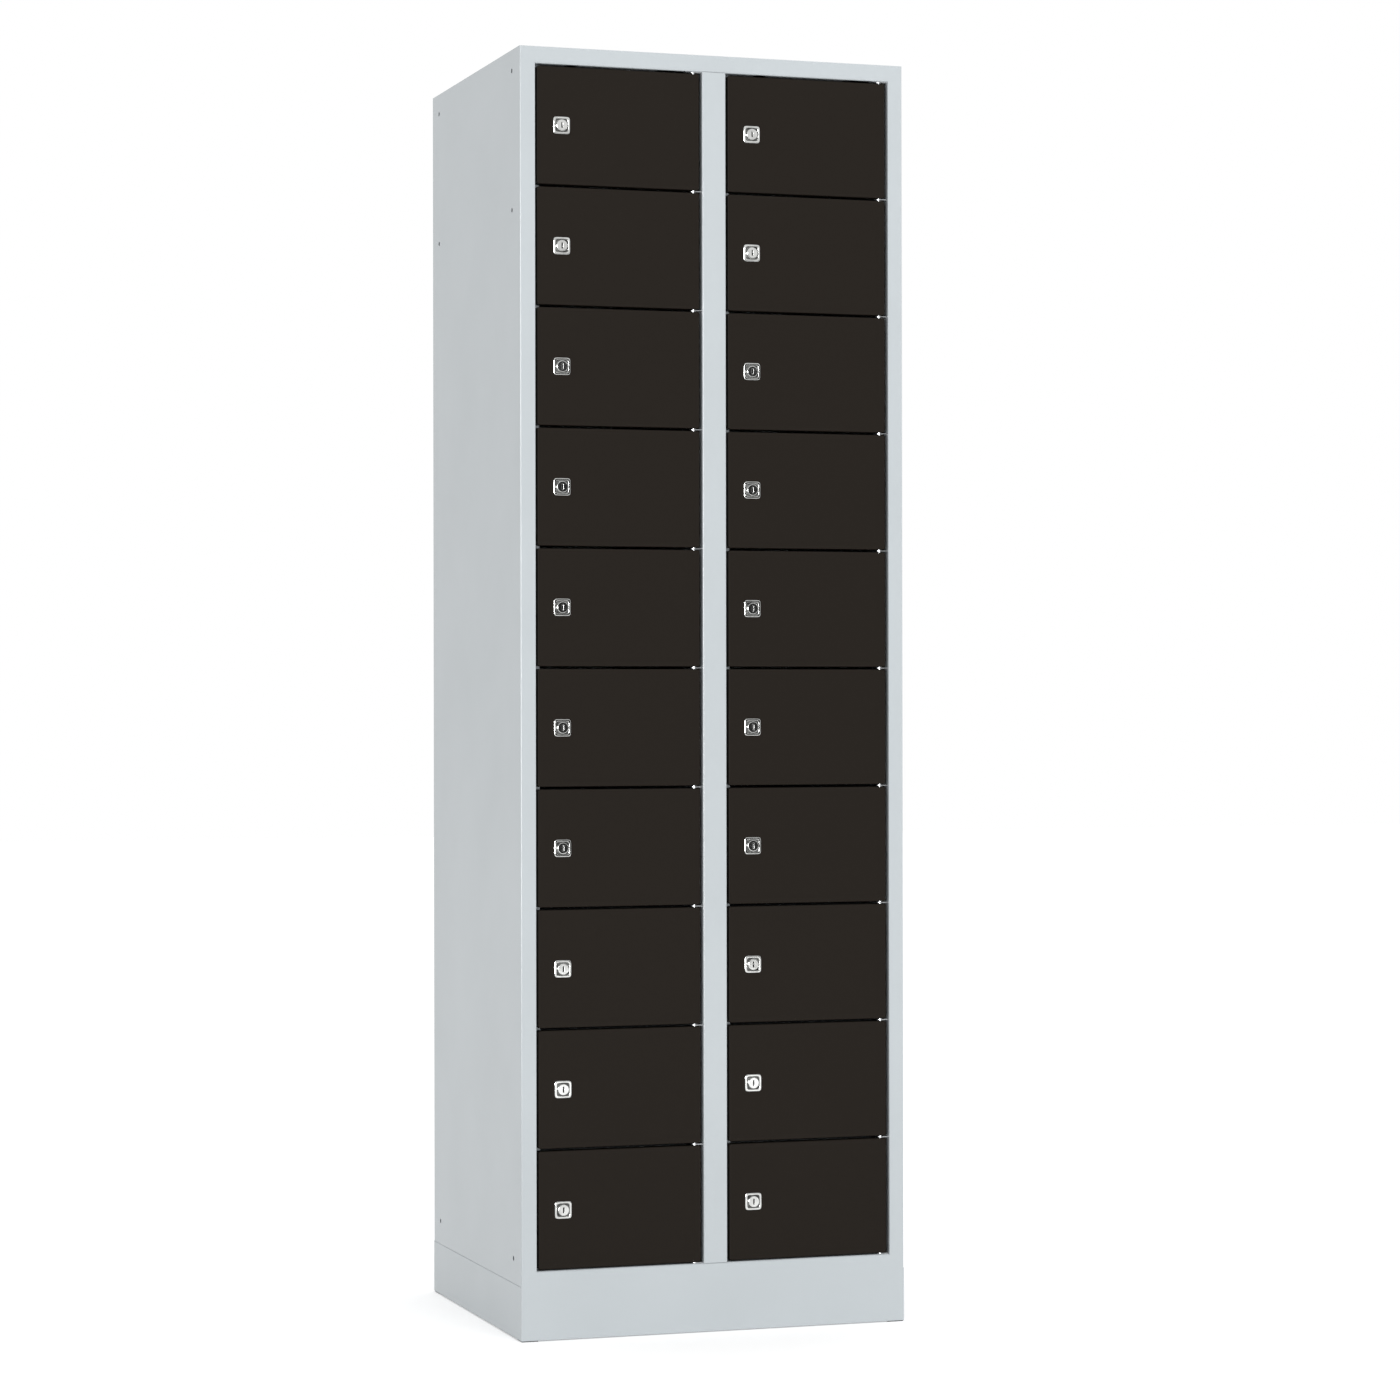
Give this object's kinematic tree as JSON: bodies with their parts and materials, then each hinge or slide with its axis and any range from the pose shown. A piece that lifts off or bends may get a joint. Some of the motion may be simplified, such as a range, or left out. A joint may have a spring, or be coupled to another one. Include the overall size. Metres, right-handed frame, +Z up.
{
  "type": "parcel locker",
  "caption": "Tall steel parcel locker: two columns of small hinged compartments with cam locks, folded sheet carcass on a closed plinth.",
  "frame": {"origin": "centre of the footprint on the floor", "axes": "+X to the right seen from the front, -Y out of the front where the doors open, +Z up"},
  "size_m": [0.585, 0.5032, 1.85],
  "materials": {
    "carcass_grey": "satin light grey powder coat",
    "door_brown": "satin dark brown-grey powder coat",
    "lock_chrome": "bright nickel-chrome plated zinc",
    "zinc": "bright zinc plated",
    "rubber": "matte black",
    "black_plastic": "matte moulded"
  },
  "bodies": {
    "frame": {"left_side_panel": "carcass_grey", "right_side_panel": "carcass_grey", "back_panel": "carcass_grey", "back_rivets": "zinc", "centre_post": "carcass_grey", "centre_partition": "carcass_grey", "shelves_left": "carcass_grey", "shelves_right": "carcass_grey", "floor_panel": "carcass_grey", "top_panel": "carcass_grey", "lower_front_panel": "carcass_grey", "plinth_left_panel": "carcass_grey", "plinth_right_panel": "carcass_grey", "plinth_rear_panel": "carcass_grey", "foot_glides": "black_plastic", "levelling_screws": "zinc", "foot_brackets": "zinc", "hinge_lugs": "zinc", "pivot_pins": "zinc", "door_buffers": "rubber"},
    "door_left_01": {"door_left_01": "door_brown"},
    "lock_left_01": {"lock_left_01": "lock_chrome"},
    "door_left_02": {"door_left_02": "door_brown"},
    "lock_left_02": {"lock_left_02": "lock_chrome"},
    "door_left_03": {"door_left_03": "door_brown"},
    "lock_left_03": {"lock_left_03": "lock_chrome"},
    "door_left_04": {"door_left_04": "door_brown"},
    "lock_left_04": {"lock_left_04": "lock_chrome"},
    "door_left_05": {"door_left_05": "door_brown"},
    "lock_left_05": {"lock_left_05": "lock_chrome"},
    "door_left_06": {"door_left_06": "door_brown"},
    "lock_left_06": {"lock_left_06": "lock_chrome"},
    "door_left_07": {"door_left_07": "door_brown"},
    "lock_left_07": {"lock_left_07": "lock_chrome"},
    "door_left_08": {"door_left_08": "door_brown"},
    "lock_left_08": {"lock_left_08": "lock_chrome"},
    "door_left_09": {"door_left_09": "door_brown"},
    "lock_left_09": {"lock_left_09": "lock_chrome"},
    "door_left_10": {"door_left_10": "door_brown"},
    "lock_left_10": {"lock_left_10": "lock_chrome"},
    "door_right_01": {"door_right_01": "door_brown"},
    "lock_right_01": {"lock_right_01": "lock_chrome"},
    "door_right_02": {"door_right_02": "door_brown"},
    "lock_right_02": {"lock_right_02": "lock_chrome"},
    "door_right_03": {"door_right_03": "door_brown"},
    "lock_right_03": {"lock_right_03": "lock_chrome"},
    "door_right_04": {"door_right_04": "door_brown"},
    "lock_right_04": {"lock_right_04": "lock_chrome"},
    "door_right_05": {"door_right_05": "door_brown"},
    "lock_right_05": {"lock_right_05": "lock_chrome"},
    "door_right_06": {"door_right_06": "door_brown"},
    "lock_right_06": {"lock_right_06": "lock_chrome"},
    "door_right_07": {"door_right_07": "door_brown"},
    "lock_right_07": {"lock_right_07": "lock_chrome"},
    "door_right_08": {"door_right_08": "door_brown"},
    "lock_right_08": {"lock_right_08": "lock_chrome"},
    "door_right_09": {"door_right_09": "door_brown"},
    "lock_right_09": {"lock_right_09": "lock_chrome"},
    "door_right_10": {"door_right_10": "door_brown"},
    "lock_right_10": {"lock_right_10": "lock_chrome"}
  },
  "joints": [
    {"name": "door_hinge_left_01", "type": "hinge", "parent": "frame", "child": "door_left_01", "pos_m": [-0.0285, -0.241, 0.18625], "axis": [0, 0, 1], "range_deg": [0, 105]},
    {"name": "lock_turn_left_01", "type": "hinge", "parent": "door_left_01", "child": "lock_left_01", "pos_m": [-0.23, -0.242, 0.18625], "axis": [0, 1, 0], "range_deg": [0, 90]},
    {"name": "door_hinge_left_02", "type": "hinge", "parent": "frame", "child": "door_left_02", "pos_m": [-0.0285, -0.241, 0.35875], "axis": [0, 0, 1], "range_deg": [0, 105]},
    {"name": "lock_turn_left_02", "type": "hinge", "parent": "door_left_02", "child": "lock_left_02", "pos_m": [-0.23, -0.242, 0.35875], "axis": [0, 1, 0], "range_deg": [0, 90]},
    {"name": "door_hinge_left_03", "type": "hinge", "parent": "frame", "child": "door_left_03", "pos_m": [-0.0285, -0.241, 0.53125], "axis": [0, 0, 1], "range_deg": [0, 105]},
    {"name": "lock_turn_left_03", "type": "hinge", "parent": "door_left_03", "child": "lock_left_03", "pos_m": [-0.23, -0.242, 0.53125], "axis": [0, 1, 0], "range_deg": [0, 90]},
    {"name": "door_hinge_left_04", "type": "hinge", "parent": "frame", "child": "door_left_04", "pos_m": [-0.0285, -0.241, 0.70375], "axis": [0, 0, 1], "range_deg": [0, 105]},
    {"name": "lock_turn_left_04", "type": "hinge", "parent": "door_left_04", "child": "lock_left_04", "pos_m": [-0.23, -0.242, 0.70375], "axis": [0, 1, 0], "range_deg": [0, 90]},
    {"name": "door_hinge_left_05", "type": "hinge", "parent": "frame", "child": "door_left_05", "pos_m": [-0.0285, -0.241, 0.87625], "axis": [0, 0, 1], "range_deg": [0, 105]},
    {"name": "lock_turn_left_05", "type": "hinge", "parent": "door_left_05", "child": "lock_left_05", "pos_m": [-0.23, -0.242, 0.87625], "axis": [0, 1, 0], "range_deg": [0, 90]},
    {"name": "door_hinge_left_06", "type": "hinge", "parent": "frame", "child": "door_left_06", "pos_m": [-0.0285, -0.241, 1.04875], "axis": [0, 0, 1], "range_deg": [0, 105]},
    {"name": "lock_turn_left_06", "type": "hinge", "parent": "door_left_06", "child": "lock_left_06", "pos_m": [-0.23, -0.242, 1.04875], "axis": [0, 1, 0], "range_deg": [0, 90]},
    {"name": "door_hinge_left_07", "type": "hinge", "parent": "frame", "child": "door_left_07", "pos_m": [-0.0285, -0.241, 1.22125], "axis": [0, 0, 1], "range_deg": [0, 105]},
    {"name": "lock_turn_left_07", "type": "hinge", "parent": "door_left_07", "child": "lock_left_07", "pos_m": [-0.23, -0.242, 1.22125], "axis": [0, 1, 0], "range_deg": [0, 90]},
    {"name": "door_hinge_left_08", "type": "hinge", "parent": "frame", "child": "door_left_08", "pos_m": [-0.0285, -0.241, 1.39375], "axis": [0, 0, 1], "range_deg": [0, 105]},
    {"name": "lock_turn_left_08", "type": "hinge", "parent": "door_left_08", "child": "lock_left_08", "pos_m": [-0.23, -0.242, 1.39375], "axis": [0, 1, 0], "range_deg": [0, 90]},
    {"name": "door_hinge_left_09", "type": "hinge", "parent": "frame", "child": "door_left_09", "pos_m": [-0.0285, -0.241, 1.56625], "axis": [0, 0, 1], "range_deg": [0, 105]},
    {"name": "lock_turn_left_09", "type": "hinge", "parent": "door_left_09", "child": "lock_left_09", "pos_m": [-0.23, -0.242, 1.56625], "axis": [0, 1, 0], "range_deg": [0, 90]},
    {"name": "door_hinge_left_10", "type": "hinge", "parent": "frame", "child": "door_left_10", "pos_m": [-0.0285, -0.241, 1.73875], "axis": [0, 0, 1], "range_deg": [0, 105]},
    {"name": "lock_turn_left_10", "type": "hinge", "parent": "door_left_10", "child": "lock_left_10", "pos_m": [-0.23, -0.242, 1.73875], "axis": [0, 1, 0], "range_deg": [0, 90]},
    {"name": "door_hinge_right_01", "type": "hinge", "parent": "frame", "child": "door_right_01", "pos_m": [0.2595, -0.241, 0.18625], "axis": [0, 0, 1], "range_deg": [0, 105]},
    {"name": "lock_turn_right_01", "type": "hinge", "parent": "door_right_01", "child": "lock_right_01", "pos_m": [0.058, -0.242, 0.18625], "axis": [0, 1, 0], "range_deg": [0, 90]},
    {"name": "door_hinge_right_02", "type": "hinge", "parent": "frame", "child": "door_right_02", "pos_m": [0.2595, -0.241, 0.35875], "axis": [0, 0, 1], "range_deg": [0, 105]},
    {"name": "lock_turn_right_02", "type": "hinge", "parent": "door_right_02", "child": "lock_right_02", "pos_m": [0.058, -0.242, 0.35875], "axis": [0, 1, 0], "range_deg": [0, 90]},
    {"name": "door_hinge_right_03", "type": "hinge", "parent": "frame", "child": "door_right_03", "pos_m": [0.2595, -0.241, 0.53125], "axis": [0, 0, 1], "range_deg": [0, 105]},
    {"name": "lock_turn_right_03", "type": "hinge", "parent": "door_right_03", "child": "lock_right_03", "pos_m": [0.058, -0.242, 0.53125], "axis": [0, 1, 0], "range_deg": [0, 90]},
    {"name": "door_hinge_right_04", "type": "hinge", "parent": "frame", "child": "door_right_04", "pos_m": [0.2595, -0.241, 0.70375], "axis": [0, 0, 1], "range_deg": [0, 105]},
    {"name": "lock_turn_right_04", "type": "hinge", "parent": "door_right_04", "child": "lock_right_04", "pos_m": [0.058, -0.242, 0.70375], "axis": [0, 1, 0], "range_deg": [0, 90]},
    {"name": "door_hinge_right_05", "type": "hinge", "parent": "frame", "child": "door_right_05", "pos_m": [0.2595, -0.241, 0.87625], "axis": [0, 0, 1], "range_deg": [0, 105]},
    {"name": "lock_turn_right_05", "type": "hinge", "parent": "door_right_05", "child": "lock_right_05", "pos_m": [0.058, -0.242, 0.87625], "axis": [0, 1, 0], "range_deg": [0, 90]},
    {"name": "door_hinge_right_06", "type": "hinge", "parent": "frame", "child": "door_right_06", "pos_m": [0.2595, -0.241, 1.04875], "axis": [0, 0, 1], "range_deg": [0, 105]},
    {"name": "lock_turn_right_06", "type": "hinge", "parent": "door_right_06", "child": "lock_right_06", "pos_m": [0.058, -0.242, 1.04875], "axis": [0, 1, 0], "range_deg": [0, 90]},
    {"name": "door_hinge_right_07", "type": "hinge", "parent": "frame", "child": "door_right_07", "pos_m": [0.2595, -0.241, 1.22125], "axis": [0, 0, 1], "range_deg": [0, 105]},
    {"name": "lock_turn_right_07", "type": "hinge", "parent": "door_right_07", "child": "lock_right_07", "pos_m": [0.058, -0.242, 1.22125], "axis": [0, 1, 0], "range_deg": [0, 90]},
    {"name": "door_hinge_right_08", "type": "hinge", "parent": "frame", "child": "door_right_08", "pos_m": [0.2595, -0.241, 1.39375], "axis": [0, 0, 1], "range_deg": [0, 105]},
    {"name": "lock_turn_right_08", "type": "hinge", "parent": "door_right_08", "child": "lock_right_08", "pos_m": [0.058, -0.242, 1.39375], "axis": [0, 1, 0], "range_deg": [0, 90]},
    {"name": "door_hinge_right_09", "type": "hinge", "parent": "frame", "child": "door_right_09", "pos_m": [0.2595, -0.241, 1.56625], "axis": [0, 0, 1], "range_deg": [0, 105]},
    {"name": "lock_turn_right_09", "type": "hinge", "parent": "door_right_09", "child": "lock_right_09", "pos_m": [0.058, -0.242, 1.56625], "axis": [0, 1, 0], "range_deg": [0, 90]},
    {"name": "door_hinge_right_10", "type": "hinge", "parent": "frame", "child": "door_right_10", "pos_m": [0.2595, -0.241, 1.73875], "axis": [0, 0, 1], "range_deg": [0, 105]},
    {"name": "lock_turn_right_10", "type": "hinge", "parent": "door_right_10", "child": "lock_right_10", "pos_m": [0.058, -0.242, 1.73875], "axis": [0, 1, 0], "range_deg": [0, 90]}
  ]
}
